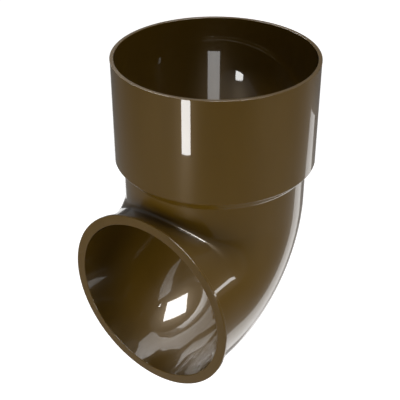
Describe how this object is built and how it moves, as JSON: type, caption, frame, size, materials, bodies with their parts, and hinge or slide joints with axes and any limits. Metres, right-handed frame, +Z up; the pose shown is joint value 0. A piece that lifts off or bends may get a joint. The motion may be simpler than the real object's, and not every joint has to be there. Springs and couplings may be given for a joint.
{
  "type": "downspout elbow",
  "caption": "Round downpipe shoe: a socket over a stop shoulder, a tight near-square bend and a flared-rim mouth that throws water clear of the wall.",
  "frame": {"origin": "centre of the stop shoulder at the bottom of the pipe socket", "axes": "+Z up the socket's axis, out of its rim; the mouth faces -Y; the bend lies in the YZ plane, so X runs across it"},
  "size_m": [0.106, 0.1118, 0.1711],
  "materials": {
    "brown_plastic": "smooth gloss moulded plastic, dark olive brown all through"
  },
  "bodies": {
    "root": {"downspout_elbow": "brown_plastic"}
  },
  "joints": []
}
